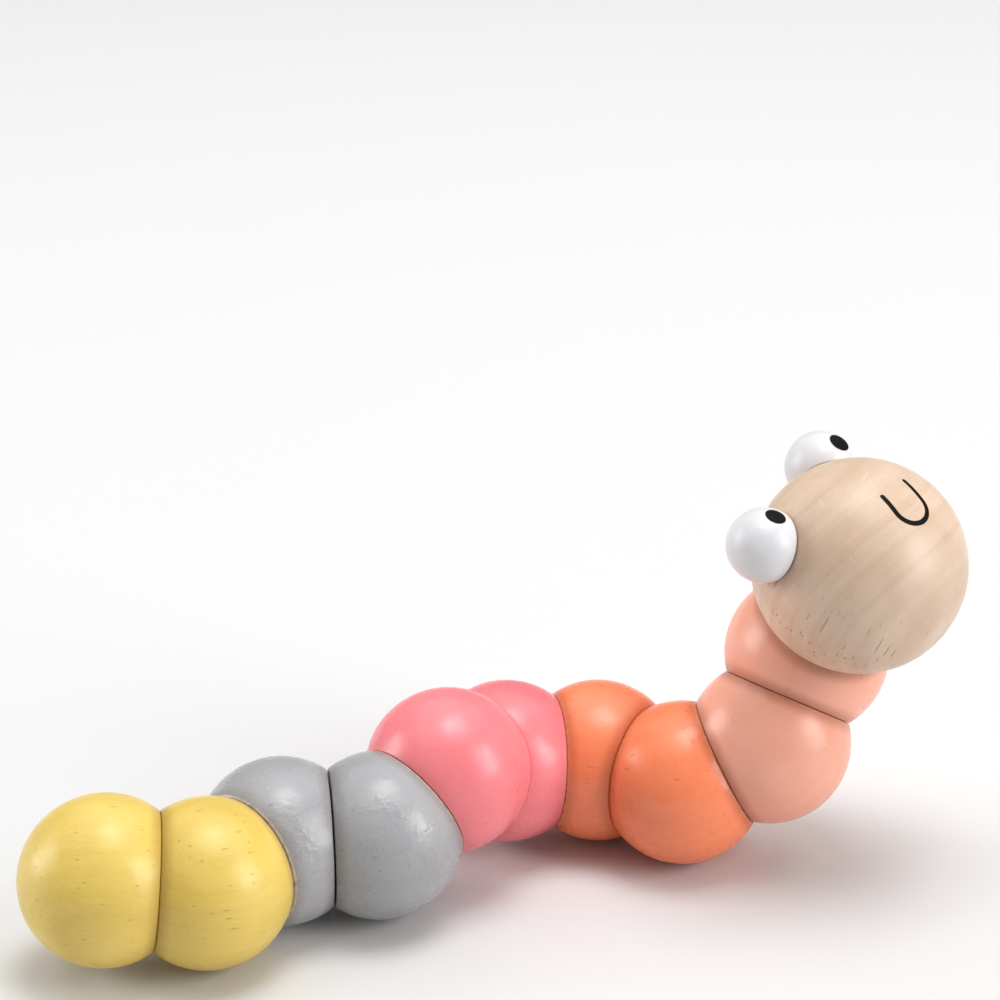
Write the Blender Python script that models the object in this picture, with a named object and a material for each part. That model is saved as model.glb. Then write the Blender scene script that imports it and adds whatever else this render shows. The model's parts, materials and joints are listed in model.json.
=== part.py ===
"""Wooden twisting worm: ten painted balls with slanted flat faces and a bare-wood head.

Every ball turns against the next one on the axis square to their shared joint plane. An elastic
cord runs through bores in all of them, from a knot in the tail to a knot in the head.
Metres, +Z up. The worm stands on z = 0, tail towards -X and head towards +X.
"""

from math import acos, cos, pi, radians, sin, sqrt

import bmesh
import bpy
from mathutils import Matrix, Vector

MM = 0.001

# The balls. A joint plane is the plane midway between two flat faces that turn on each other.
BALL_RADIUS = 17.0 * MM
JOINT_DISTANCE = 10.0 * MM  # ball centre to joint plane
WEDGE = radians(41.5)  # angle between the two joint planes of one ball
HALF_GAP = 0.15 * MM  # how far a face stays behind its joint plane
FACE_DISTANCE = JOINT_DISTANCE - HALF_GAP
JOINT_RADIUS = sqrt(BALL_RADIUS**2 - JOINT_DISTANCE**2)
FAN_HEIGHT = FACE_DISTANCE / sin(WEDGE / 2)  # ball centre to the line where its faces would meet

# The head. Its flat face is as wide as the neck's, so the rims meet.
HEAD_RADIUS = 21.8 * MM
HEAD_JOINT_DISTANCE = sqrt(HEAD_RADIUS**2 - JOINT_RADIUS**2)

# The eyes: small balls, each glued by a flat base and a dowel to a flat seat on the head.
EYE_RADIUS = 7.5 * MM
EYE_OFFSET = 24.0 * MM  # head centre to eye centre
EYE_FROM_FRONT = radians(80)  # angle at the head's centre between the face's middle and an eye
EYE_SPREAD = radians(42)  # angle of each eye to its side of the middle
EYE_SIDES = {"left": 1, "right": -1}  # towards +Y or -Y in the head's frame
SEAT_DISTANCE = (EYE_OFFSET**2 + HEAD_RADIUS**2 - EYE_RADIUS**2) / (2 * EYE_OFFSET)
SEAT_RADIUS = sqrt(HEAD_RADIUS**2 - SEAT_DISTANCE**2)
CUTTER_RADIUS = 1.5 * SEAT_RADIUS  # clear of the head all round the seat

# The eye dowels
DOWEL_RADIUS = 1.5 * MM
DOWEL_LENGTH = 8.0 * MM
GLUE_GAP = 0.3 * MM

# The elastic cord, its knots and the drilled plugs that they bear on
CORD_RADIUS = 1.25 * MM
BORE_RADIUS = 3.0 * MM
KNOT_RADIUS = 3.6 * MM
POCKET_RADIUS = 4.5 * MM
PLUG_LENGTH = 6.0 * MM
PLUG_DEPTH = 1.5 * MM  # joint plane to the plug's outer end
KNOT_DEPTH = PLUG_DEPTH + PLUG_LENGTH + GLUE_GAP + KNOT_RADIUS
POCKET_DEPTH = KNOT_DEPTH + KNOT_RADIUS + GLUE_GAP

# The pose: how far each ball is turned on the one before it, from tail to head, in degrees
TURNS = (0, 170, 214, 253, 246, 13, 231, 24, 105, 256)
TAIL_YAW = radians(7.8)
TAIL_PITCH = radians(7.5)
TAIL_ROLL = radians(-79)

# How finely the round surfaces are divided, and the angle from which an edge stays sharp
BALL_SIDES = 28
BALL_BANDS = 8
SMALL_SIDES = 16
KNOT_BANDS = 6
CORD_SIDES = 10
SHARP_ANGLE = radians(40)

# Colour (linear), roughness and metallic value of each material
FINISHES = {
    "yellow_paint": ((0.80, 0.57, 0.13), 0.42, 0.0),
    "gray_paint": ((0.40, 0.39, 0.40), 0.42, 0.0),
    "pink_paint": ((0.92, 0.24, 0.27), 0.42, 0.0),
    "orange_paint": ((0.90, 0.25, 0.12), 0.42, 0.0),
    "coral_paint": ((0.84, 0.42, 0.31), 0.42, 0.0),
    "bare_beech": ((0.72, 0.52, 0.36), 0.55, 0.0),
    "white_paint": ((0.80, 0.79, 0.78), 0.38, 0.0),
    "elastic": ((0.62, 0.60, 0.56), 0.80, 0.0),
}
BALL_PAINTS = ("yellow_paint", "gray_paint", "pink_paint", "orange_paint", "coral_paint")
BALLS_PER_PAINT = 2
BALL_COUNT = BALLS_PER_PAINT * len(BALL_PAINTS)


def clear_scene():
    for obj in list(bpy.data.objects):
        bpy.data.objects.remove(obj)


def make_material(name):
    color, roughness, metallic = FINISHES[name]
    material = bpy.data.materials.new(name)
    material.use_nodes = True
    shader = material.node_tree.nodes["Principled BSDF"]
    shader.inputs["Base Color"].default_value = (*color, 1.0)
    shader.inputs["Roughness"].default_value = roughness
    shader.inputs["Metallic"].default_value = metallic
    return material


def place(name, bm, material, parent, matrix=None):
    """A new object from bm, at matrix in its parent's frame."""
    bmesh.ops.recalc_face_normals(bm, faces=bm.faces)
    mesh = bpy.data.meshes.new(name)
    bm.to_mesh(mesh)
    bm.free()
    mesh.shade_smooth()
    mesh.set_sharp_from_angle(angle=SHARP_ANGLE)
    mesh.materials.append(material)
    obj = bpy.data.objects.new(name, mesh)
    bpy.context.collection.objects.link(obj)
    obj.parent = parent
    obj.matrix_local = matrix or Matrix()
    return obj


def make_frame(name, parent, matrix):
    """An empty at a ball's centre, which is on the ball's joint axes."""
    frame = bpy.data.objects.new(name, None)
    frame.empty_display_size = BALL_RADIUS
    bpy.context.collection.objects.link(frame)
    frame.parent = parent
    frame.matrix_local = matrix
    return frame


def along_x(distance):
    return Matrix.Translation((distance, 0, 0))


def about_x(angle):
    return Matrix.Rotation(angle, 4, "X")


def about_y(angle):
    return Matrix.Rotation(angle, 4, "Y")


# ---- Shapes made of rings of points


def bridge(bm, rings, closed=False):
    """Quads from each ring to the next, and back to the first one if closed."""
    last = rings[:1] if closed else []
    for first, second in zip(rings, rings[1:] + last):
        for i in range(len(first)):
            j = (i + 1) % len(first)
            bm.faces.new((first[i], first[j], second[j], second[i]))


def upright_ring(bm, x, radius, sides):
    """A ring about X."""
    angles = [2 * pi * i / sides for i in range(sides)]
    return [bm.verts.new((x, radius * cos(a), radius * sin(a))) for a in angles]


def turned(profile, sides):
    """A solid turned about X from (x, radius) points. It starts and ends on the axis."""
    bm = bmesh.new()
    rings = [upright_ring(bm, x, radius, sides) for x, radius in profile[1:-1]]
    bridge(bm, rings)
    for (x, _), ring in ((profile[0], rings[0]), (profile[-1], rings[-1])):
        tip = bm.verts.new((x, 0, 0))
        for i, vert in enumerate(ring):
            bm.faces.new((vert, ring[(i + 1) % sides], tip))
    return bm


def arc(radius, x_start, x_end, bands):
    """Profile points on a circle about the origin, from x_start to x_end."""
    first = acos(max(-1, min(1, x_start / radius)))
    last = acos(max(-1, min(1, x_end / radius)))
    steps = [first + (last - first) * i / bands for i in range(bands + 1)]
    return [(radius * cos(a), radius * sin(a)) for a in steps]


def fan_circle(bm, fan_angle, radius, sides):
    """A ring in the plane tilted by fan_angle, about the point nearest to the ball's centre.

    The planes of one fan share the line where the ball's two faces would meet.
    """
    normal = Vector((cos(fan_angle), 0, sin(fan_angle)))
    upward = Vector((-sin(fan_angle), 0, cos(fan_angle)))
    centre = normal * FAN_HEIGHT * sin(fan_angle)
    ring = []
    for i in range(sides):
        angle = 2 * pi * i / sides
        point = centre + Vector((0, 1, 0)) * radius * cos(angle) + upward * radius * sin(angle)
        ring.append(bm.verts.new(point))
    return ring


def bent_ring(bm, radius, sides):
    """The ring where a bore or cord of this radius bends, in the ball's middle plane."""
    angles = [2 * pi * i / sides for i in range(sides)]
    tall = radius / cos(WEDGE / 2)
    return [bm.verts.new((0, radius * cos(a), tall * sin(a))) for a in angles]


def wedge_ball():
    """A ball between two slanted faces, with a bore that bends at its centre."""
    bm = bmesh.new()
    rings = []
    for i in range(BALL_BANDS + 1):
        fan_angle = WEDGE * (i / BALL_BANDS - 0.5)
        radius = sqrt(BALL_RADIUS**2 - (FAN_HEIGHT * sin(fan_angle)) ** 2)
        rings.append(fan_circle(bm, fan_angle, radius, BALL_SIDES))
    rings.append(fan_circle(bm, WEDGE / 2, BORE_RADIUS, BALL_SIDES))
    rings.append(bent_ring(bm, BORE_RADIUS, BALL_SIDES))
    rings.append(fan_circle(bm, -WEDGE / 2, BORE_RADIUS, BALL_SIDES))
    bridge(bm, rings, closed=True)
    return bm


def bent_cord():
    """The cord's stretch through one wedge ball."""
    bm = bmesh.new()
    ends = [fan_circle(bm, side * WEDGE / 2, CORD_RADIUS, CORD_SIDES) for side in (-1, 1)]
    bridge(bm, [ends[0], bent_ring(bm, CORD_RADIUS, CORD_SIDES), ends[1]])
    for end in ends:
        bm.faces.new(end)
    return bm


# ---- Pieces in an end ball's frame: its joint plane is square to X, at x = joint


def end_ball(radius, joint, bands):
    """A ball with one flat face, towards +X, and a blind pocket for the plug and the knot."""
    face = joint - HALF_GAP
    floor = joint - POCKET_DEPTH
    pocket = [(floor, 0), (floor, POCKET_RADIUS), (face, POCKET_RADIUS)]
    return turned(pocket + arc(radius, face, -radius, bands), BALL_SIDES)


def knotted_end(name, joint, parent, matrix, materials):
    """The plug, the knot and the straight stretch of cord in an end ball."""
    plug_outer = joint - PLUG_DEPTH
    plug_inner = plug_outer - PLUG_LENGTH
    hole = CORD_RADIUS + GLUE_GAP
    outside = POCKET_RADIUS - GLUE_GAP
    corners = [(plug_outer, hole), (plug_outer, outside), (plug_inner, outside), (plug_inner, hole)]
    plug = bmesh.new()
    bridge(plug, [upright_ring(plug, x, radius, SMALL_SIDES) for x, radius in corners], closed=True)
    place(f"{name}_plug", plug, materials["bare_beech"], parent, matrix)

    knot = turned(arc(KNOT_RADIUS, KNOT_RADIUS, -KNOT_RADIUS, KNOT_BANDS), CORD_SIDES)
    place(f"{name}_knot", knot, materials["elastic"], parent, matrix @ along_x(joint - KNOT_DEPTH))

    start = joint - KNOT_DEPTH + KNOT_RADIUS + GLUE_GAP / 2
    end = joint - HALF_GAP
    cord = [(start, 0), (start, CORD_RADIUS), (end, CORD_RADIUS), (end, 0)]
    cord_name = "elastic_cord_01" if name == "tail" else "elastic_cord_head"
    place(cord_name, turned(cord, CORD_SIDES), materials["elastic"], parent, matrix)


# ---- The head


def eye_direction(side):
    """From the head's centre to an eye, in a head frame with the face towards +X and its top +Z."""
    out = sin(EYE_FROM_FRONT)
    return Vector((cos(EYE_FROM_FRONT), side * out * sin(EYE_SPREAD), out * cos(EYE_SPREAD)))


def eye_frame(side):
    """The head's centre, with X towards an eye."""
    return eye_direction(side).to_track_quat("X", "Z").to_matrix().to_4x4()


def cut_seats(head, frame, material):
    """Cuts each eye's flat seat and dowel hole with a Boolean."""
    past_head = HEAD_RADIUS + EYE_RADIUS
    hole_floor = SEAT_DISTANCE - DOWEL_LENGTH / 2 - GLUE_GAP
    seat = SEAT_DISTANCE - HALF_GAP
    hole_radius = DOWEL_RADIUS + GLUE_GAP
    outline = [(hole_floor, 0), (hole_floor, hole_radius), (seat, hole_radius)]
    outline += [(seat, CUTTER_RADIUS), (past_head, CUTTER_RADIUS), (past_head, 0)]
    for word, side in EYE_SIDES.items():
        shape = turned(outline, SMALL_SIDES)
        cutter = place(f"{word}_seat_cutter", shape, material, frame, eye_frame(side))
        cutter.hide_render = True
        cutter.display_type = "WIRE"
        cut = head.modifiers.new(f"{word}_seat", "BOOLEAN")
        cut.operation = "DIFFERENCE"
        cut.solver = "EXACT"
        cut.object = cutter


def make_eye(word, side, frame, materials):
    base = SEAT_DISTANCE + HALF_GAP - EYE_OFFSET
    hole_floor = SEAT_DISTANCE + DOWEL_LENGTH / 2 + GLUE_GAP - EYE_OFFSET
    hole_radius = DOWEL_RADIUS + GLUE_GAP
    outline = [(hole_floor, 0), (hole_floor, hole_radius), (base, hole_radius)]
    outline += arc(EYE_RADIUS, base, EYE_RADIUS, BALL_BANDS)
    towards = eye_frame(side)
    at_eye = towards @ along_x(EYE_OFFSET)
    place(f"{word}_eye", turned(outline, SMALL_SIDES), materials["white_paint"], frame, at_eye)

    half = DOWEL_LENGTH / 2
    dowel = [(-half, 0), (-half, DOWEL_RADIUS), (half, DOWEL_RADIUS), (half, 0)]
    at_seat = towards @ along_x(SEAT_DISTANCE)
    place(f"{word}_eye_dowel", turned(dowel, CORD_SIDES), materials["bare_beech"], frame, at_seat)


def make_head(frame, materials):
    facing_neck = Matrix.Rotation(pi, 4, "Z")
    ball = end_ball(HEAD_RADIUS, HEAD_JOINT_DISTANCE, 2 * BALL_BANDS)
    head = place("head_ball", ball, materials["bare_beech"], frame, facing_neck)
    cut_seats(head, frame, materials["bare_beech"])
    knotted_end("head", HEAD_JOINT_DISTANCE, frame, facing_neck, materials)
    for word, side in EYE_SIDES.items():
        make_eye(word, side, frame, materials)


# ---- The chain


def make_chain(root, materials):
    """The frames and pieces of every ball, each placed by its turn on the ball before it."""
    start = Matrix.Rotation(TAIL_YAW, 4, "Z") @ about_y(TAIL_PITCH) @ about_x(TAIL_ROLL)
    frame = make_frame("frame_01", root, start)
    tail = end_ball(BALL_RADIUS, JOINT_DISTANCE, 2 * BALL_BANDS)
    place("segment_01", tail, materials[BALL_PAINTS[0]], frame)
    knotted_end("tail", JOINT_DISTANCE, frame, Matrix(), materials)
    to_joint = along_x(JOINT_DISTANCE)
    from_joint = along_x(JOINT_DISTANCE) @ about_y(-WEDGE / 2)
    for index in range(1, BALL_COUNT):
        label = f"{index + 1:02d}"
        turn = about_x(radians(TURNS[index - 1]))
        frame = make_frame(f"frame_{label}", frame, to_joint @ turn @ from_joint)
        paint = materials[BALL_PAINTS[index // BALLS_PER_PAINT]]
        place(f"segment_{label}", wedge_ball(), paint, frame)
        place(f"elastic_cord_{label}", bent_cord(), materials["elastic"], frame)
        to_joint = about_y(-WEDGE / 2) @ along_x(JOINT_DISTANCE)
    neck = to_joint @ about_x(radians(TURNS[-1])) @ along_x(HEAD_JOINT_DISTANCE)
    make_head(make_frame("frame_head", frame, neck), materials)


def stand_on_floor(root):
    """Moves the worm so that the middle of its box's bottom is the origin."""
    bpy.context.view_layer.update()
    graph = bpy.context.evaluated_depsgraph_get()
    points = []
    for obj in bpy.context.scene.objects:
        if obj.type == "MESH" and not obj.hide_render:
            evaluated = obj.evaluated_get(graph)
            points += [evaluated.matrix_world @ vert.co for vert in evaluated.data.vertices]
    low = Vector(min(p[axis] for p in points) for axis in range(3))
    high = Vector(max(p[axis] for p in points) for axis in range(3))
    root.location = (-(low.x + high.x) / 2, -(low.y + high.y) / 2, -low.z)


def main():
    clear_scene()
    materials = {name: make_material(name) for name in FINISHES}
    root = make_frame("worm", None, Matrix())
    make_chain(root, materials)
    stand_on_floor(root)


main()
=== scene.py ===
import json
from math import acos, atan2, cos, pi, radians, sin, sqrt

import bpy
from mathutils import Matrix, Vector, noise

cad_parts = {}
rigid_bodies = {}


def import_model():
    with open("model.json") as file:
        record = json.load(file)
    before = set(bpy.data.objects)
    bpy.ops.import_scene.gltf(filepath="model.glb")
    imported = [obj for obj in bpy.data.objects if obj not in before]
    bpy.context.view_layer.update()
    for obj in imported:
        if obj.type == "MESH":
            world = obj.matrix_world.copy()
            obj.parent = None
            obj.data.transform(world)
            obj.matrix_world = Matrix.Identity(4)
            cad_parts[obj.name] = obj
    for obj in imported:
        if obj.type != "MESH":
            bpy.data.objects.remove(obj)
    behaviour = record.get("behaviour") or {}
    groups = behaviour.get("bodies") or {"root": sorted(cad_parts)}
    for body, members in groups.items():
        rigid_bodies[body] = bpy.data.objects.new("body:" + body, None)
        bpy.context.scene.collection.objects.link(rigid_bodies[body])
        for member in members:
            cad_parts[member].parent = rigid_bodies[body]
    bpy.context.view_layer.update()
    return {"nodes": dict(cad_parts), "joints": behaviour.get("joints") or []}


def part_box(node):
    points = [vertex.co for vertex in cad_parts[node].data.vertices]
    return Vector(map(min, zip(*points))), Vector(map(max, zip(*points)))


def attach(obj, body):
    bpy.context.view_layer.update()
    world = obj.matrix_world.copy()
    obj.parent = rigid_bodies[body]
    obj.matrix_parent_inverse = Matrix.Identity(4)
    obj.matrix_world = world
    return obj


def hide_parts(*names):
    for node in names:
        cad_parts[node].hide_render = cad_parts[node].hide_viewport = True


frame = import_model()

MM = 0.001

# ---- Sizes of the turned pieces
BALL_RADIUS = 17.0 * MM
JOINT_DISTANCE = 10.0 * MM
WEDGE = radians(41.5)
JOINT_RADIUS = sqrt(BALL_RADIUS**2 - JOINT_DISTANCE**2)
HALF_GAP = 0.06 * MM
BORE_RADIUS = 3.0 * MM
POCKET_RADIUS = 4.5 * MM
POCKET_DEPTH = 15.3 * MM
HEAD_RADIUS = 21.8 * MM
HEAD_JOINT_DISTANCE = sqrt(HEAD_RADIUS**2 - JOINT_RADIUS**2)
EYE_RADIUS = 7.5 * MM
EYE_OFFSET = 24.0 * MM
SEAT_DISTANCE = (EYE_OFFSET**2 + HEAD_RADIUS**2 - EYE_RADIUS**2) / (2 * EYE_OFFSET)
SEAT_RADIUS = sqrt(HEAD_RADIUS**2 - SEAT_DISTANCE**2)
EYE_BASE = EYE_OFFSET - SEAT_DISTANCE - HALF_GAP
DOWEL_HOLE_RADIUS = 1.8 * MM
DOWEL_HOLE_DEPTH = 4.3 * MM

# ---- Edges and fineness
HEAD_ROUNDING = 0.45 * MM
EYE_ROUNDING = 0.5 * MM
ROUNDING_STEPS = 8
SIDES = 144
BANDS = 56  # between the two faces of a ball
SHARP = radians(14)

# ---- Sanding: the most that it leaves in or out, and how long its swells are
WOBBLE = 0.04 * MM
WOBBLE_LENGTH = 8.0 * MM
WOBBLE_SHIFT = (3.1, 1.7, 2.3)  # for every seed
FADE_START = 0.985  # of the radius: the flat faces, which are nearer to the middle, stay flat
FADE_LENGTH = 0.015
HEAD_SEED = 20

# ---- The painted face, in the head's frame: X forward, Z up between the eyes
PUPILS = {
    "right": (2.0 * MM, Vector((0.99, 0.08, 0.10))),
    "left": (2.1 * MM, Vector((0.985, 0.10, -0.10))),
}
INK_HEIGHT = 0.07 * MM
INK_SUNK = 0.12 * MM
PUPIL_EDGE = 0.3  # heights of the pupil's upright edge and of its crown's foot, in ink heights
PUPIL_CROWN = 0.5
SMILE_RADIUS = 3.87 * MM
SMILE_CENTRE = (-2.65 * MM, -2.5 * MM)
SMILE_ARMS = (4.7 * MM, 6.2 * MM)
SMILE_LEAN = radians(24)
SMILE_WIDTHS = (1.0 * MM, 1.08 * MM, 0.95 * MM)
SMILE_STEPS = 90
SMILE_SIDES = 16
SMILE_TIP_STEPS = 2
SMILE_TIP_WIDTH = 0.05  # of the full width

PLACE = "own_place"
CHAIN = ["tail"] + [f"ball_{number:02d}" for number in range(2, 11)] + ["head"]

# ---- Paint colours, linear: the full coat, and where it lies thin on the grain
# crease_shade: how strongly painted shade darkens each ball next to its flat faces, where the crease
# falls dark
PAINTS = {
    "yellow_paint": {
        "coat": (0.75, 0.55, 0.126, 1),
        "thin": (0.68, 0.475, 0.090, 1),
        "roughness": 0.35,
        "grain": 0.75,
        "pores": 0.6,
        "wear": 0.45,
        "wrinkles": 0.12,
        "gap": 0.03 * MM,
        "rounding": 0.8 * MM,
        "crease_shade": 0.55,
    },
    "gray_paint": {
        "coat": (0.365, 0.365, 0.377, 1),
        "thin": (0.325, 0.325, 0.336, 1),
        "roughness": 0.29,
        "grain": 0.4,
        "pores": 0.25,
        "wear": 0.42,
        "wrinkles": 1.0,
        "gap": 0.18 * MM,
        "rounding": 0.6 * MM,
        "crease_shade": 0.45,
    },
    "pink_paint": {
        "coat": (0.88, 0.225, 0.250, 1),
        "thin": (0.82, 0.19, 0.215, 1),
        "roughness": 0.30,
        "grain": 0.35,
        "pores": 0.0,
        "wear": 0.15,
        "wrinkles": 0.1,
        "gap": 0.02 * MM,
        "rounding": 0.5 * MM,
        "crease_shade": 0.12,
    },
    "orange_paint": {
        "coat": (0.97, 0.270, 0.124, 1),
        "thin": (0.92, 0.225, 0.092, 1),
        "roughness": 0.29,
        "grain": 0.5,
        "pores": 0.4,
        "wear": 0.2,
        "wrinkles": 0.12,
        "gap": 0.05 * MM,
        "rounding": 0.8 * MM,
        "crease_shade": 0.55,
    },
    "coral_paint": {
        "coat": (0.92, 0.435, 0.315, 1),
        "thin": (0.87, 0.385, 0.268, 1),
        "roughness": 0.32,
        "grain": 0.45,
        "pores": 0.0,
        "wear": 0.15,
        "wrinkles": 0.1,
        "gap": 0.05 * MM,
        "rounding": 0.45 * MM,
        "crease_shade": 0.70,
    },
}
BALLS_PER_PAINT = 2
BALL_COUNT = BALLS_PER_PAINT * len(PAINTS)

# ---- What the painted balls have in common. Sizes are along the grain, then across it
GRAIN_FIBRE = (9 * MM, 0.55 * MM, 0.55 * MM)
PITH_ASIDE = 28  # millimetres from the ball's middle, and a step more for each seed
PITH_STEP = 3
PITH_DOWN = 9
GRAIN_RING = 2.4 * MM
GRAIN_CLOUD = 14 * MM
GRAIN_WEIGHTS = (0.40, 0.55, 0.45)  # of the fibres, the rings and the cloud
GRAIN_EDGES = (0.16, 0.14)  # from the middle depth down to thin paint and up to a full coat
PORE_SIZE = (2.2 * MM, 0.40 * MM)
PORE_CELL = (6 * MM, 1.7 * MM, 1.7 * MM)
PORE_SHADE = 0.45  # of the thin coat's colour
PORE_WEIGHT = 0.36
CREASE_SHADE_REACH = (2.8 * MM, 0.1 * MM)  # before the flat face: where the painted shade of the crease starts and is full
CREASE_SHADE_TINT = (0.50, 0.40, 0.32)  # the painted shade of the crease, as shares of the coat's colour
SCUFF_SIZE = 1.3 * MM
SCUFF_EDGES = (0.28, 0.55)
WORN_REACH = (0.85, 0.40)  # of the rim's rounding
WORN_COLOR = (0.80, 0.62, 0.42, 1)
GLOSS_SIZE = 4 * MM
GLOSS_EDGES = (0.25, 0.75)
GLOSS_SPREAD = (-0.05, 0.07)  # about the paint's own roughness
SKIN_SIZE = 1.3 * MM
FOLD_SIZE = (0.85 * MM, 0.7 * MM, 0.7 * MM)
FOLD_TWIST = 0.6
PATCH_SIZE = 5 * MM
PATCH_SEED = 40  # this and the other seeds below are added to the piece's own
PATCH_RANGE = (0.42, 0.64, 0.10, 1.0)
PAINT_RELIEF = 0.06 * MM
PAINT_HEIGHTS = (0.25, 2.5, 0.2, -1.1)  # of the skin, the wrinkles, the fibres and the pores

# ---- Bare beech
BEECH_FIBRE = (13 * MM, 0.5 * MM, 0.5 * MM)
BEECH_PITH = (0, -8 * MM, -52 * MM)
BEECH_RING = 3.6 * MM
BEECH_CLOUD = (16 * MM, 12 * MM, 12 * MM)
BEECH_WEIGHTS = (0.14, 0.46, 0.40)  # of the fibres, the rings and the cloud
BEECH_EDGES = (0.36, 0.64)
BEECH_DARK = (0.575, 0.405, 0.285, 1)
BEECH_PALE = (0.70, 0.53, 0.40, 1)
LONG_FLECKS = {
    "length": 5.6 * MM,
    "width": 0.38 * MM,
    "cell": (6 * MM, 1.2 * MM, 1.2 * MM),
    "share": 0.6,
}
SHORT_FLECKS = {
    "length": 1.8 * MM,
    "width": 0.24 * MM,
    "cell": (4.0 * MM, 1.3 * MM, 1.3 * MM),
    "share": 0.16,
}
LONG_FLECK_SEED = 2
SHORT_FLECK_SEED = 9
SHORT_FLECK_WEIGHT = 0.5
FLECK_END = 0.40 * HEAD_RADIUS  # how far in front of the middle the last flecks are
FLECK_SIDES = (0.66 * HEAD_RADIUS, 0.88 * HEAD_RADIUS)  # from the axis: where they start
FLECK_WEIGHT = 0.60
FLECK_COLOR = (0.28, 0.185, 0.115, 1)
RAY_SIZE = (0.45 * MM, 6 * MM, 6 * MM)
RAY_EDGES = (0.62, 0.72)
RAY_PATCH_SIZE = 10 * MM
RAY_PATCH_SEED = 7
RAY_PATCH_EDGES = (0.50, 0.64)
RAY_WEIGHT = 0.30
RAY_COLOR = (0.86, 0.70, 0.55, 1)
BEECH_ROUGHNESS = (0.3, 0.7, 0.36, 0.46)
BEECH_RELIEF = 0.05 * MM
BEECH_HEIGHTS = (0.12, 0.35, -1.4)  # of the fibres, the rays and the flecks
HEAD_GRAIN_SEED = 3
PEG_GRAIN_SEED = 8

# ---- Marks and rings in any wood
FINE = 3.0  # octaves of fine noise
FIBRE_ROUGHNESS = 0.55
SEED_SHIFT = (7.3, 3.9, 5.1)
RAGGED_SIZE = 2 * MM
RAGGED_WEIGHT = 0.5
RAGGED_EDGES = (0.95, 1.25)
RING_DRIFT = 12.0  # how fast the rings change along the grain, in noise steps per metre

# ---- Even coats
EYE_WHITE = {
    "color": (0.72, 0.715, 0.735, 1),
    "roughness": 0.36,
    "gloss": 0.5,
    "grain": 1.5 * MM,
    "relief": 0.006 * MM,
    "seam": EYE_BASE,
}
BLACK_INK = {
    "color": (0.006, 0.006, 0.005, 1),
    "roughness": 0.5,
    "gloss": 0.08,
    "grain": 0.5 * MM,
    "relief": 0.012 * MM,
}
COAT_SHADE = 0.94
COAT_CLOUD = 6  # in grains
COAT_EDGES = (0.35, 0.65)
COAT_GLOSS_EDGES = (0.2, 0.8)
COAT_GLOSS_SPREAD = (-0.04, 0.05)
# The dark line round an eye's seam: glue, and painted shade where the groove falls dark.
GLUE_AND_SHADE_REACH = (0.48 * MM, 0.25 * MM)
GLUE_AND_SHADE_COLOR = (0.16, 0.11, 0.08, 1)

# ---- White elastic
BRAID_RIBS = 420.0
BRAID_TWIST = 0.4
BRAID_DARK = (0.40, 0.38, 0.35, 1)
BRAID_PALE = (0.70, 0.68, 0.63, 1)
BRAID_ROUGHNESS = 0.8
BRAID_RELIEF = 0.15 * MM

# ---- The room
FLOOR_HALF = 5.0
FLOOR_CLOUD = 0.4
FLOOR_DARK = (0.68, 0.68, 0.68, 1)
FLOOR_PALE = (0.70, 0.70, 0.70, 1)
FLOOR_ROUGHNESS = 0.9
AIM = (0, 0, 0.03)
SOFTBOXES = {  # place, width, height, and how bright each looks
    "ceiling_softbox": ((0.1, 0.6, 2.4), 3.6, 3.6, 1.15),
    "overhead_softbox": ((0.22, 0.11, 1.80), 0.79, 0.79, 7.2),
    "right_softbox": ((2.42, -1.01, 1.20), 1.10, 1.87, 8.3),
    "left_softbox": ((-2.52, 0.36, 0.86), 1.20, 1.44, 6.3),
}
WORLD_STRENGTH = 0.20
CAMERA_FROM_TAIL = Vector((4.5913, -26.7166, 15.9003)) * BALL_RADIUS
CAMERA_DOWN = radians(22.85)
CAMERA_ROLL = radians(-0.91)
CAMERA_SENSOR = 36
CAMERA_LENS = 96.84
CAMERA_CLIP = 0.01


# ---- Where each piece is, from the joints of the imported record


def joint_between(first, second):
    """The joint's point, and its axis turned towards the second body."""
    for joint in frame["joints"]:
        if {joint["parent"], joint["child"]} == {first, second}:
            outward = 1 if joint["child"] == second else -1
            return Vector(joint["pos_m"]), outward * Vector(joint["axis"]).normalized()


def framed(x_axis, z_hint, origin):
    """A frame at origin with this X axis, and Z as near to the hint as it can be."""
    z_axis = (z_hint - z_hint.dot(x_axis) * x_axis).normalized()
    matrix = Matrix((x_axis, z_axis.cross(x_axis), z_axis)).transposed().to_4x4()
    matrix.translation = origin
    return matrix


JOINTS = [joint_between(first, second) for first, second in zip(CHAIN, CHAIN[1:])]


def ball_frame(index):
    """A ball's frame: X along the chain, and Z where its two faces come closest together."""
    if index == 0:
        point, axis = JOINTS[0]
        return framed(axis, Vector((0, 0, 1)), point - axis * JOINT_DISTANCE)
    point, back = JOINTS[index - 1]
    front = JOINTS[index][1]
    return framed((back + front).normalized(), front - back, point + back * JOINT_DISTANCE)


def middle(node):
    """The middle of a CAD node's box."""
    low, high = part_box(node)
    return (low + high) / 2


def head_frame():
    """The head's frame: X from the neck to the middle of the face, and Z between the eyes."""
    point, axis = JOINTS[-1]
    centre = point + axis * HEAD_JOINT_DISTANCE
    eyes = middle("left_eye_dowel") + middle("right_eye_dowel") - 2 * centre
    return framed(axis, eyes, centre)


def eye_frame(word):
    """The head's centre, with X towards an eye."""
    head = head_frame()
    towards = (middle(f"{word}_eye_dowel") - head.translation).normalized()
    return framed(towards, head.col[0].to_3d(), head.translation)


def along_x(distance):
    return Matrix.Translation((distance, 0, 0))


# ---- Meshes made of rings of points


def keep_places(mesh, matrix):
    """Stores where each point is in the piece's own frame, for the materials to follow."""
    inverse = matrix.inverted()
    places = mesh.attributes.get(PLACE) or mesh.attributes.new(PLACE, "FLOAT_VECTOR", "POINT")
    for vert in mesh.vertices:
        places.data[vert.index].vector = inverse @ vert.co


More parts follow.
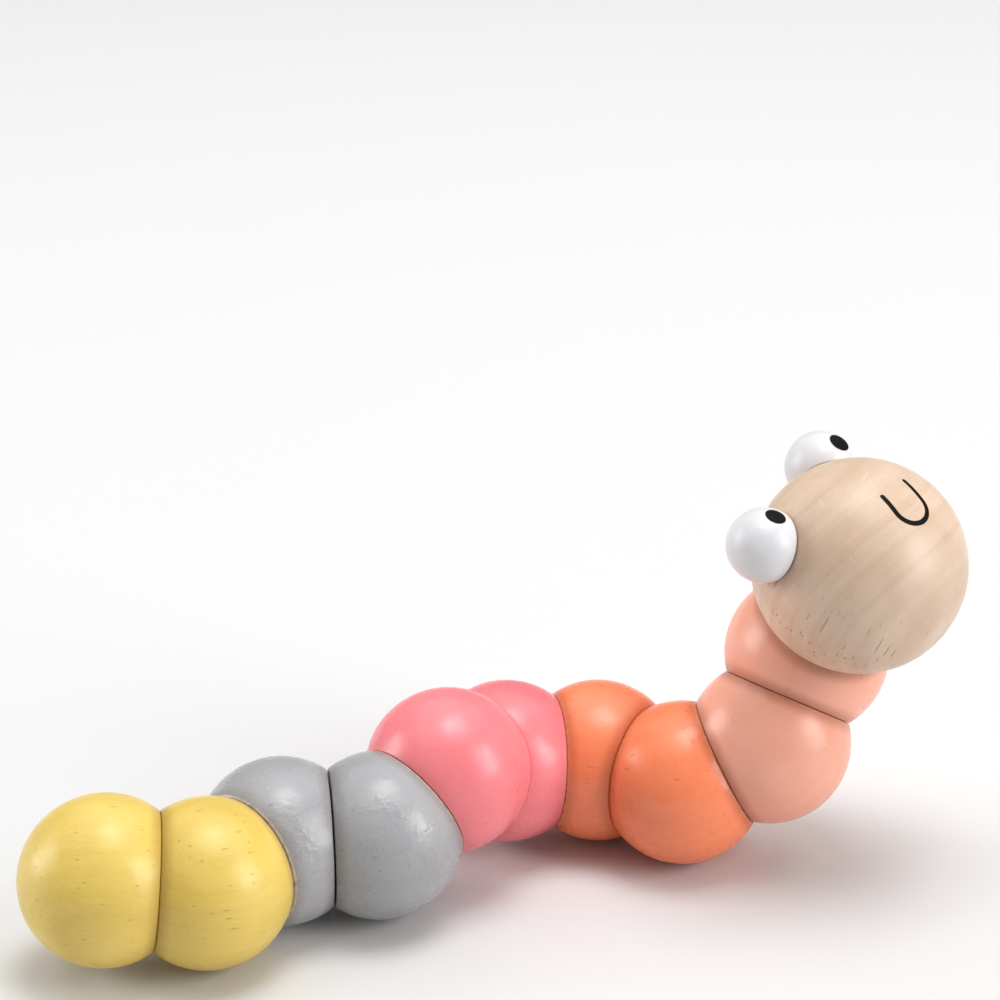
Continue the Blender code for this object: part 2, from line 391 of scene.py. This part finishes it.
def mesh_object(name, points, faces, matrix, material):
    """A piece whose points are given in its own frame, and which is placed by its mesh."""
    mesh = bpy.data.meshes.new(name)
    mesh.from_pydata([tuple(matrix @ point) for point in points], [], faces)
    mesh.shade_smooth()
    mesh.set_sharp_from_angle(angle=SHARP)
    mesh.materials.append(material)
    keep_places(mesh, matrix)
    obj = bpy.data.objects.new(name, mesh)
    bpy.context.scene.collection.objects.link(obj)
    return obj


def bridged(rings, closed=False):
    """The points and faces of a surface through rings of equal length. A ring of one is a tip.

    Its outside is outwards where the rings turn from Y to Z and follow each other towards -X.
    """
    points = []
    starts = []
    for ring in rings:
        starts.append(len(points))
        points += ring
    pairs = list(zip(range(len(rings)), range(1, len(rings))))
    if closed:
        pairs.append((len(rings) - 1, 0))
    sides = max(len(ring) for ring in rings)
    faces = []
    for first, second in pairs:
        for side in range(sides):
            after = (side + 1) % sides
            corners = []
            for ring, place in ((first, after), (first, side), (second, side), (second, after)):
                corner = starts[ring] + (place if len(rings[ring]) > 1 else 0)
                if corner not in corners:
                    corners.append(corner)
            faces.append(tuple(corners))
    return points, faces


def turned_rings(profile, sides=SIDES):
    """Rings about X from (x, radius) points."""
    rings = []
    for x, radius in profile:
        count = sides if radius > 0 else 1
        angles = [2 * pi * i / count for i in range(count)]
        rings.append([Vector((x, radius * cos(angle), radius * sin(angle))) for angle in angles])
    return rings


def rim_profile(radius, face, rounding):
    """(x, radius) points of the rounded edge between a flat face at x = face and a ball."""
    x = face - rounding
    out = sqrt((radius - rounding) ** 2 - x**2)
    end = atan2(out, x)
    steps = [end * i / ROUNDING_STEPS for i in range(ROUNDING_STEPS + 1)]
    return [(x + rounding * cos(angle), out + rounding * sin(angle)) for angle in steps]


def arc_profile(radius, x_start, x_end, bands):
    """(x, radius) points on a circle about the origin."""
    first, last = (acos(max(-1, min(1, x / radius))) for x in (x_start, x_end))
    steps = [first + (last - first) * i / bands for i in range(bands + 1)]
    return [(radius * cos(angle), max(0, radius * sin(angle))) for angle in steps]


def ball_profile(radius, face, rounding):
    """From the rim of a flat face at x = face, round the ball to the tip of its back."""
    rim = rim_profile(radius, face, rounding)
    round_part = arc_profile(radius, rim[-1][0], -radius, 2 * BANDS)[1:-1]
    return rim + round_part + [(-radius, 0)]


def fan_ring(tilt, height, radius):
    """A ring in a plane tilted about the line where the two planes of a fan meet, at this height."""
    normal = Vector((cos(tilt), 0, sin(tilt)))
    upward = Vector((-sin(tilt), 0, cos(tilt)))
    centre = normal * height * sin(tilt)
    ring = []
    for i in range(SIDES):
        angle = 2 * pi * i / SIDES
        ring.append(centre + Vector((0, radius * cos(angle), 0)) + upward * radius * sin(angle))
    return ring


def wedge_rings(look):
    """All the rings of a ball with two slanted faces: front face, round part, back face, bore."""
    half = WEDGE / 2
    face = JOINT_DISTANCE - look["gap"]
    flat = [(face, BORE_RADIUS), (face, (BORE_RADIUS + JOINT_RADIUS) / 2)]
    rim = rim_profile(BALL_RADIUS, face, look["rounding"])
    front = [fan_ring(half, x / sin(half), radius) for x, radius in flat + rim]
    back = [fan_ring(-half, x / sin(half), radius) for x, radius in flat + rim]
    height = rim[-1][0] / sin(half)
    fan = []
    for i in range(1, BANDS):
        tilt = WEDGE * (0.5 - i / BANDS)
        fan.append(fan_ring(tilt, height, sqrt(BALL_RADIUS**2 - (height * sin(tilt)) ** 2)))
    bend = []
    for i in range(SIDES):
        angle = 2 * pi * i / SIDES
        bend.append(Vector((0, BORE_RADIUS * cos(angle), BORE_RADIUS / cos(half) * sin(angle))))
    return front + fan + back[::-1] + [bend]


def end_rings(radius, joint, gap, rounding):
    """All the rings of a ball with one flat face, towards +X, and a blind pocket in it."""
    face = joint - gap
    floor = joint - POCKET_DEPTH
    inside = [(floor, 0), (floor, POCKET_RADIUS), (face, POCKET_RADIUS)]
    inside.append((face, (POCKET_RADIUS + JOINT_RADIUS) / 2))
    return turned_rings(inside + ball_profile(radius, face, rounding))


def swell(point, radius, seed):
    """How far sanding leaves the turned surface in or out here. It fades out at the flat faces."""
    on_round = min(1, max(0, (point.length / radius - FADE_START) / FADE_LENGTH))
    offset = Vector(WOBBLE_SHIFT) * seed
    return WOBBLE * on_round * noise.noise(point / WOBBLE_LENGTH + offset)


def hand_sanded(points, radius, seed):
    """The points, each moved out or in by its swell."""
    moved = []
    for point in points:
        if point.length > 0:
            point = point + point.normalized() * swell(point, radius, seed)
        moved.append(point)
    return moved


# ---- Materials


class Shader:
    """A material's nodes, with short ways to add the ones that paint and wood are made of."""

    def __init__(self, name, cad_node=False):
        self.material = bpy.data.materials.new(name)
        self.material.use_nodes = True
        self.tree = self.material.node_tree
        self.tree.nodes.clear()
        output = self.tree.nodes.new("ShaderNodeOutputMaterial")
        self.surface = self.tree.nodes.new("ShaderNodeBsdfPrincipled")
        self.tree.links.new(self.surface.outputs[0], output.inputs[0])
        if cad_node:
            self.place = self.tree.nodes.new("ShaderNodeTexCoord").outputs["Object"]
        else:
            attribute = self.tree.nodes.new("ShaderNodeAttribute")
            attribute.attribute_name = PLACE
            self.place = attribute.outputs["Vector"]

    def add(self, kind, inputs, output=0, **settings):
        """Adds a node, sets or links its inputs, and returns one of its outputs."""
        made = self.tree.nodes.new(kind)
        for key, value in settings.items():
            setattr(made, key, value)
        for key, value in inputs.items():
            self.put(made.inputs[key], value)
        return made.outputs[output]

    def put(self, socket, value):
        if isinstance(value, bpy.types.NodeSocket):
            self.tree.links.new(value, socket)
        else:
            socket.default_value = value

    def finish(self, **inputs):
        """Sets or links the shader's own sockets, named with _ for a space."""
        for key, value in inputs.items():
            self.put(self.surface.inputs[key.replace("_", " ")], value)
        return self.material

    def scaled(self, sizes, seed=0):
        """The place on the piece in steps of these sizes, somewhere else for every seed."""
        scale = tuple(1 / size for size in sizes)
        shift = tuple(seed * step for step in SEED_SHIFT)
        return self.add("ShaderNodeMapping", {"Vector": self.place, "Location": shift, "Scale": scale})

    def noise(self, where, detail=2.0, roughness=0.5, distortion=0.0):
        inputs = {"Vector": where, "Scale": 1.0, "Detail": detail}
        inputs.update({"Roughness": roughness, "Distortion": distortion})
        return self.add("ShaderNodeTexNoise", inputs)

    def blotches(self, size, seed=0, detail=2.0):
        """Noise as long as it is wide."""
        return self.noise(self.scaled((size, size, size), seed), detail)

    def ramp(self, value, low, high, to_low=0.0, to_high=1.0):
        inputs = {"Value": value, "From Min": low, "From Max": high}
        inputs.update({"To Min": to_low, "To Max": to_high})
        return self.add("ShaderNodeMapRange", inputs, interpolation_type="SMOOTHSTEP")

    def math(self, operation, first, second=0.0):
        return self.add("ShaderNodeMath", {0: first, 1: second}, operation=operation)

    def vector(self, operation, first, second=(0, 0, 0), output=0):
        inputs = {0: first, 1: second}
        return self.add("ShaderNodeVectorMath", inputs, output, operation=operation)

    def total(self, *parts):
        """The sum of (value, weight) pairs."""
        result = 0.0
        for value, weight in parts:
            result = self.math("ADD", result, self.math("MULTIPLY", value, weight))
        return result

    def mix(self, amount, first, second):
        made = self.tree.nodes.new("ShaderNodeMix")
        made.data_type = "RGBA"
        colors = [socket for socket in made.inputs if socket.type == "RGBA"]
        self.put(made.inputs[0], amount)
        self.put(colors[0], first)
        self.put(colors[1], second)
        return next(socket for socket in made.outputs if socket.type == "RGBA")

    def bump(self, height, distance):
        inputs = {"Height": height, "Distance": distance, "Strength": 1.0}
        return self.add("ShaderNodeBump", inputs)

    def off_axis(self):
        """How far each place is from the X axis."""
        return self.vector("LENGTH", self.vector("MULTIPLY", self.place, (0, 1, 1)), output="Value")

    def along(self):
        """How far each place is along the X axis."""
        return self.add("ShaderNodeSeparateXYZ", {0: self.place})

    def flecks(self, length, width, cell, share, seed):
        """Marks along X, 1 inside and 0 outside: one in a share of the cells of a loose grid."""
        bend = self.blotches(RAGGED_SIZE, seed)
        where = self.scaled(cell, seed)
        inputs = {"Vector": where, "Scale": 1.0, "Randomness": 1.0}
        position = self.add("ShaderNodeTexVoronoi", inputs, output="Position")
        cells = position.node
        offset = self.vector("SUBTRACT", where, position)
        stretch = (2 * cell[0] / length, 2 * cell[1] / width, 2 * cell[2] / width)
        reach = self.vector("LENGTH", self.vector("MULTIPLY", offset, stretch), output="Value")
        ragged = self.math("ADD", reach, self.math("MULTIPLY", bend, RAGGED_WEIGHT))
        inside = self.ramp(ragged, *RAGGED_EDGES, 1.0, 0.0)
        draw = self.add("ShaderNodeSeparateColor", {"Color": cells.outputs["Color"]})
        return self.math("MULTIPLY", inside, self.math("LESS_THAN", draw, share))

    def year_rings(self, pith, width, seed):
        """Soft bands of the wood's yearly growth: shells about a line along X, at -pith."""
        away = self.vector("ADD", self.place, pith)
        radius = self.vector("LENGTH", self.vector("MULTIPLY", away, (0, 1, 1)), output="Value")
        drift = self.math("MULTIPLY", self.along(), RING_DRIFT)
        inputs = {"X": drift, "Y": self.math("DIVIDE", radius, width), "Z": float(seed)}
        return self.noise(self.add("ShaderNodeCombineXYZ", inputs), detail=FINE)

    def near_face(self, normal, face, start, end):
        """0 up to start before a flat face, and 1 from end before it."""
        depth = self.vector("DOT_PRODUCT", self.place, tuple(normal), output="Value")
        return self.ramp(depth, face - start, face - end)


def painted(name, look, index):
    """Satin paint over turned beech: grain, filled pores, painted shade darkening the creases, and a
    worn rim.
    """
    s = Shader(name)
    seed = index + 1
    coat, thin = look["coat"], look["thin"]
    fibre = s.noise(s.scaled(GRAIN_FIBRE, seed), detail=FINE, roughness=FIBRE_ROUGHNESS)
    pith = (0, (PITH_ASIDE + PITH_STEP * seed) * MM, PITH_DOWN * MM)
    rings = s.year_rings(pith, GRAIN_RING, seed)
    cloud = s.blotches(GRAIN_CLOUD, seed)
    of_fibre, of_rings, of_cloud = GRAIN_WEIGHTS
    grain = look["grain"]
    depth = s.total((fibre, of_fibre * grain), (rings, of_rings * grain), (cloud, of_cloud))
    middle_depth = 0.5 * ((of_fibre + of_rings) * grain + of_cloud)
    down_to_thin, up_to_full = GRAIN_EDGES
    coated = s.ramp(depth, middle_depth - down_to_thin, middle_depth + up_to_full)
    color = s.mix(coated, thin, coat)

    pores = s.flecks(*PORE_SIZE, PORE_CELL, look["pores"], seed)
    dark = tuple(PORE_SHADE * value for value in thin[:3]) + (1,)
    color = s.mix(s.math("MULTIPLY", pores, PORE_WEIGHT), color, dark)

    # Painted shade: a darker band of the coat next to each flat face, where the crease falls dark.
    face = JOINT_DISTANCE - look["gap"]
    normals = slanted_normals(index)
    bands = [s.near_face(normal, face, *CREASE_SHADE_REACH) for normal in normals]
    crease_shade = s.math("MAXIMUM", bands[0], bands[-1])
    crease_shade_color = tuple(share * value for share, value in zip(CREASE_SHADE_TINT, coat)) + (1,)
    color = s.mix(s.math("MULTIPLY", crease_shade, look["crease_shade"]), color, crease_shade_color)

    if index > 0:
        other_color = normals[-1 if index % BALLS_PER_PAINT == 0 else 0]
        scuffs = s.blotches(SCUFF_SIZE, seed, detail=FINE)
        reach = [share * look["rounding"] for share in WORN_REACH]
        rim = s.near_face(other_color, face, *reach)
        worn = s.math("MULTIPLY", rim, s.ramp(scuffs, *SCUFF_EDGES))
        color = s.mix(s.math("MULTIPLY", worn, look["wear"]), color, WORN_COLOR)

    uneven = s.blotches(GLOSS_SIZE, seed, detail=FINE)
    rough = s.ramp(uneven, *GLOSS_EDGES, *(look["roughness"] + shift for shift in GLOSS_SPREAD))
    skin = s.blotches(SKIN_SIZE, seed)
    folds = s.noise(s.scaled(FOLD_SIZE, seed), detail=1.0, distortion=FOLD_TWIST)
    patches = s.ramp(s.blotches(PATCH_SIZE, seed + PATCH_SEED), *PATCH_RANGE)
    wrinkles = s.math("MULTIPLY", folds, s.math("MULTIPLY", patches, look["wrinkles"]))
    height = s.total(*zip((skin, wrinkles, fibre, pores), PAINT_HEIGHTS))
    return s.finish(Base_Color=color, Roughness=rough, Normal=s.bump(height, PAINT_RELIEF))


def beech(name, seed, cad_node=False):
    """Bare sanded beech: soft yearly bands, fine fibres, long dark flecks and faint marks across."""
    s = Shader(name, cad_node)
    fibre = s.noise(s.scaled(BEECH_FIBRE, seed), detail=FINE, roughness=FIBRE_ROUGHNESS)
    rings = s.year_rings(BEECH_PITH, BEECH_RING, seed)
    cloud = s.noise(s.scaled(BEECH_CLOUD, seed))
    tone = s.ramp(s.total(*zip((fibre, rings, cloud), BEECH_WEIGHTS)), *BEECH_EDGES)
    color = s.mix(tone, BEECH_DARK, BEECH_PALE)

    flecks = s.flecks(**LONG_FLECKS, seed=seed + LONG_FLECK_SEED)
    short = s.flecks(**SHORT_FLECKS, seed=seed + SHORT_FLECK_SEED)
    neck_side = s.ramp(s.along(), 0.0, FLECK_END, 1.0, 0.0)
    along_side = s.ramp(s.off_axis(), *FLECK_SIDES)
    marks = s.math("MAXIMUM", flecks, s.math("MULTIPLY", short, SHORT_FLECK_WEIGHT))
    marks = s.math("MULTIPLY", marks, s.math("MULTIPLY", along_side, neck_side))
    color = s.mix(s.math("MULTIPLY", marks, FLECK_WEIGHT), color, FLECK_COLOR)

    rays = s.noise(s.scaled(RAY_SIZE, seed), detail=1.0)
    patch = s.ramp(s.blotches(RAY_PATCH_SIZE, seed + RAY_PATCH_SEED), *RAY_PATCH_EDGES)
    cross = s.math("MULTIPLY", s.ramp(rays, *RAY_EDGES), patch)
    color = s.mix(s.math("MULTIPLY", cross, RAY_WEIGHT), color, RAY_COLOR)

    rough = s.ramp(fibre, *BEECH_ROUGHNESS)
    height = s.total(*zip((fibre, cross, marks), BEECH_HEIGHTS))
    return s.finish(Base_Color=color, Roughness=rough, Normal=s.bump(height, BEECH_RELIEF))


def even_coat(name, color, roughness, gloss, grain, relief, seam=None):
    """An even coat with a fine skin, and a dark line round the seam at this x, if there is one: glue,
    darkened further by painted shade of the groove.
    """
    s = Shader(name)
    shade = tuple(COAT_SHADE * value for value in color[:3]) + (1,)
    cloud = s.blotches(COAT_CLOUD * grain)
    skin = s.blotches(grain, detail=FINE)
    tint = s.mix(s.ramp(cloud, *COAT_EDGES), shade, color)
    if seam:
        # The seam line: glue, with painted shade where the groove falls dark.
        seam_shade_line = s.near_face(Vector((1, 0, 0)), seam, *GLUE_AND_SHADE_REACH)
        tint = s.mix(seam_shade_line, tint, GLUE_AND_SHADE_COLOR)
    rough = s.ramp(skin, *COAT_GLOSS_EDGES, *(roughness + shift for shift in COAT_GLOSS_SPREAD))
    normal = s.bump(skin, relief)
    return s.finish(Base_Color=tint, Roughness=rough, Specular_IOR_Level=gloss, Normal=normal)


def braid(name):
    """White elastic: crossing diagonal ribs."""
    s = Shader(name, cad_node=True)
    ribs = []
    for lean in (1, -1):
        where = s.add("ShaderNodeMapping", {"Vector": s.place, "Rotation": (0, 0, lean * pi / 4)})
        inputs = {"Vector": where, "Scale": BRAID_RIBS, "Distortion": BRAID_TWIST}
        ribs.append(s.add("ShaderNodeTexWave", inputs, output="Fac"))
    weave = s.math("MAXIMUM", ribs[0], ribs[1])
    color = s.mix(weave, BRAID_DARK, BRAID_PALE)
    normal = s.bump(weave, BRAID_RELIEF)
    return s.finish(Base_Color=color, Roughness=BRAID_ROUGHNESS, Normal=normal)


# ---- Pieces


def slanted_normals(index):
    """The outward normals of a ball's flat faces, in its own frame."""
    if index == 0:
        return [Vector((1, 0, 0))]
    half = WEDGE / 2
    return [Vector((cos(half), 0, sin(half))), Vector((-cos(half), 0, sin(half)))]


def make_ball(index):
    """A painted ball. The tail's has one flat face, and the others have two."""
    number = f"{index + 1:02d}"
    slot = list(PAINTS)[index // BALLS_PER_PAINT]
    look = PAINTS[slot]
    material = painted(f"{slot}_{number}", look, index)
    if index == 0:
        rings = end_rings(BALL_RADIUS, JOINT_DISTANCE, look["gap"], look["rounding"])
        points, faces = bridged(rings)
    else:
        points, faces = bridged(wedge_rings(look), closed=True)
    points = hand_sanded(points, BALL_RADIUS, index + 1)
    ball = mesh_object(f"painted_ball_{number}", points, faces, ball_frame(index), material)
    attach(ball, CHAIN[index])
    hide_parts(f"segment_{number}")


def cut(obj, cutters, matrix):
    """Takes the cutters out of obj for good, and removes them. matrix is obj's own frame."""
    for cutter in cutters:
        modifier = obj.modifiers.new(cutter.name, "BOOLEAN")
        modifier.operation = "DIFFERENCE"
        modifier.solver = "EXACT"
        modifier.object = cutter
    bpy.context.view_layer.update()
    evaluated = obj.evaluated_get(bpy.context.evaluated_depsgraph_get())
    mesh = bpy.data.meshes.new_from_object(evaluated)
    obj.modifiers.clear()
    obj.data = mesh
    mesh.set_sharp_from_angle(angle=SHARP)
    keep_places(mesh, matrix)
    for cutter in cutters:
        bpy.data.objects.remove(cutter)


def seat_cutter(word, material):
    """What comes out of the head for an eye: everything past its flat seat, and the dowel's hole."""
    past = HEAD_RADIUS + EYE_RADIUS
    floor = SEAT_DISTANCE - DOWEL_HOLE_DEPTH
    outline = [(floor, 0), (floor, DOWEL_HOLE_RADIUS), (SEAT_DISTANCE, DOWEL_HOLE_RADIUS)]
    wide = 1.5 * SEAT_RADIUS
    outline += [(SEAT_DISTANCE, wide), (past, wide), (past, 0)]
    points, faces = bridged(turned_rings(outline[::-1]))
    return mesh_object(f"{word}_seat_cutter", points, faces, eye_frame(word), material)


def make_head(material):
    """The bare wooden head, with its flat face at the neck and a seat for each eye."""
    half_turn = Matrix.Rotation(pi, 4, "Z")
    points, faces = bridged(end_rings(HEAD_RADIUS, HEAD_JOINT_DISTANCE, HALF_GAP, HEAD_ROUNDING))
    points = hand_sanded([half_turn @ point for point in points], HEAD_RADIUS, HEAD_SEED)
    head = mesh_object("head_wood", points, faces, head_frame(), material)
    cut(head, [seat_cutter(word, material) for word in ("left", "right")], head_frame())
    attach(head, "head")
    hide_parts("head_ball")


def make_eye(word, white, black):
    """A white ball with a flat base, a hole for its dowel, and a round black pupil."""
    floor = EYE_BASE - DOWEL_HOLE_DEPTH
    hole = [(floor, 0), (floor, DOWEL_HOLE_RADIUS), (EYE_BASE, DOWEL_HOLE_RADIUS)]
    points, faces = bridged(turned_rings(hole + ball_profile(EYE_RADIUS, EYE_BASE, EYE_ROUNDING)))
    at_eye = eye_frame(word) @ along_x(EYE_OFFSET)
    facing_head = at_eye @ Matrix.Rotation(pi, 4, "Z")
    eye = mesh_object(f"{word}_eye_white", points, faces, facing_head, white)
    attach(eye, "head")
    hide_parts(f"{word}_eye")

    radius, direction = PUPILS[word]
    head = head_frame()
    gaze = head.to_3x3() @ direction.normalized()
    forward = framed(gaze, head.col[2].to_3d(), at_eye.translation)
    top = EYE_RADIUS + INK_HEIGHT
    edge = sqrt(EYE_RADIUS**2 - radius**2)
    disc = [(EYE_RADIUS - INK_SUNK, 0)]
    disc += [(edge - INK_SUNK, radius), (edge + PUPIL_EDGE * INK_HEIGHT, radius)]
    crown = arc_profile(top, edge + PUPIL_CROWN * INK_HEIGHT, top, ROUNDING_STEPS)
    disc += crown[:-1] + [(top, 0)]
    points, faces = bridged(turned_rings(disc[::-1], SIDES // 2))
    pupil = mesh_object(f"{word}_pupil", points, faces, forward, black)
    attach(pupil, "head")


def smile_path():
    """(y, z, how far along from 0 to 1) points of a U that leans to one side."""
    left, right = SMILE_ARMS
    bow = pi * SMILE_RADIUS
    whole = left + bow + right
    points = []
    for step in range(SMILE_STEPS + 1):
        gone = whole * step / SMILE_STEPS
        if gone < left:
            y, z = -SMILE_RADIUS, left - gone
        elif gone < left + bow:
            angle = pi + (gone - left) / SMILE_RADIUS
            y, z = SMILE_RADIUS * cos(angle), SMILE_RADIUS * sin(angle)
        else:
            y, z = SMILE_RADIUS, gone - left - bow
        leaned_y = y * cos(SMILE_LEAN) + z * sin(SMILE_LEAN)
        leaned_z = z * cos(SMILE_LEAN) - y * sin(SMILE_LEAN)
        points.append((SMILE_CENTRE[0] + leaned_y, SMILE_CENTRE[1] + leaned_z, step / SMILE_STEPS))
    return points


def on_head(y, z):
    """The point of the sanded head's surface that lies straight ahead of (y, z)."""
    point = Vector((sqrt(HEAD_RADIUS**2 - y**2 - z**2), y, z))
    return point + point.normalized() * swell(point, HEAD_RADIUS, HEAD_SEED)


def stroke_width(share):
    """The brush's width along the smile: a little more at the bottom, and least at the end."""
    start, bottom, end = SMILE_WIDTHS
    if share < 0.5:
        return start + (bottom - start) * 2 * share
    return bottom + (end - bottom) * (2 * share - 1)


def make_smile(material):
    """A thin film of ink that follows the head's surface, a flat oval in section."""
    path = smile_path()
    centres = [on_head(y, z) for y, z, _ in path]
    rings = []
    for i, centre in enumerate(centres):
        along = (centres[min(i + 1, SMILE_STEPS)] - centres[max(i - 1, 0)]).normalized()
        out = centre.normalized()
        side = along.cross(out)
        to_end = min(i, SMILE_STEPS - i) / SMILE_TIP_STEPS
        full = sqrt(1 - max(0, 1 - to_end) ** 2)
        half_width = stroke_width(path[i][2]) / 2 * max(full, SMILE_TIP_WIDTH)
        ring = []
        for k in range(SMILE_SIDES):
            angle = 2 * pi * k / SMILE_SIDES
            height = INK_HEIGHT * sin(angle) if sin(angle) > 0 else INK_SUNK * sin(angle)
            ring.append(centre + side * half_width * cos(angle) + out * height)
        rings.append(ring)
    rings = [[centres[0]]] + rings + [[centres[-1]]]
    points, faces = bridged(rings)
    smile = mesh_object("smile", points, faces, head_frame(), material)
    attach(smile, "head")


def refinish(nodes, material):
    """Gives CAD nodes that stay a better material."""
    for name in nodes:
        mesh = frame["nodes"][name].data
        mesh.materials.clear()
        mesh.materials.append(material)


# ---- The room


def make_floor():
    signs = ((-1, -1), (1, -1), (1, 1), (-1, 1))
    corners = [Vector((FLOOR_HALF * x, FLOOR_HALF * y, 0)) for x, y in signs]
    s = Shader("pale_floor")
    color = s.mix(s.blotches(FLOOR_CLOUD), FLOOR_DARK, FLOOR_PALE)
    s.finish(Base_Color=color, Roughness=FLOOR_ROUGHNESS)
    mesh_object("floor", corners, [(0, 1, 2, 3)], Matrix(), s.material)


def softbox(name, place, width, height, radiance):
    """A lamp that faces the worm. Its power follows from its size and how bright it looks."""
    data = bpy.data.lights.new(name, "AREA")
    data.shape = "RECTANGLE"
    data.size = width
    data.size_y = height
    data.energy = radiance * pi * width * height
    lamp = bpy.data.objects.new(name, data)
    bpy.context.scene.collection.objects.link(lamp)
    lamp.location = place
    lamp.rotation_euler = (Vector(AIM) - Vector(place)).to_track_quat("-Z", "Y").to_euler()


def make_lights():
    for name, settings in SOFTBOXES.items():
        softbox(name, *settings)
    world = bpy.data.worlds.new("studio")
    world.use_nodes = True
    background = world.node_tree.nodes["Background"]
    background.inputs["Color"].default_value = (1, 1, 1, 1)
    background.inputs["Strength"].default_value = WORLD_STRENGTH
    bpy.context.scene.world = world
    bpy.context.scene.view_settings.view_transform = "Standard"


def make_camera():
    data = bpy.data.cameras.new("camera")
    data.sensor_width = CAMERA_SENSOR
    data.lens = CAMERA_LENS
    data.clip_start = CAMERA_CLIP
    camera = bpy.data.objects.new("camera", data)
    bpy.context.scene.collection.objects.link(camera)
    camera.location = ball_frame(0).translation + CAMERA_FROM_TAIL
    look = Matrix.Rotation(pi / 2 - CAMERA_DOWN, 4, "X") @ Matrix.Rotation(CAMERA_ROLL, 4, "Z")
    camera.rotation_euler = look.to_euler()
    bpy.context.scene.camera = camera


def main():
    for index in range(BALL_COUNT):
        make_ball(index)
    white = even_coat("eye_white_paint", **EYE_WHITE)
    black = even_coat("black_ink", **BLACK_INK)
    make_head(beech("bare_beech_head", HEAD_GRAIN_SEED))
    make_smile(black)
    for word in ("left", "right"):
        make_eye(word, white, black)
    inside = [name for name in frame["nodes"] if name.startswith("elastic_cord")]
    refinish(inside + ["tail_knot", "head_knot"], braid("white_elastic"))
    turned_pegs = ["tail_plug", "head_plug", "left_eye_dowel", "right_eye_dowel"]
    refinish(turned_pegs, beech("peg_beech", PEG_GRAIN_SEED, cad_node=True))
    make_floor()
    make_lights()
    make_camera()


main()
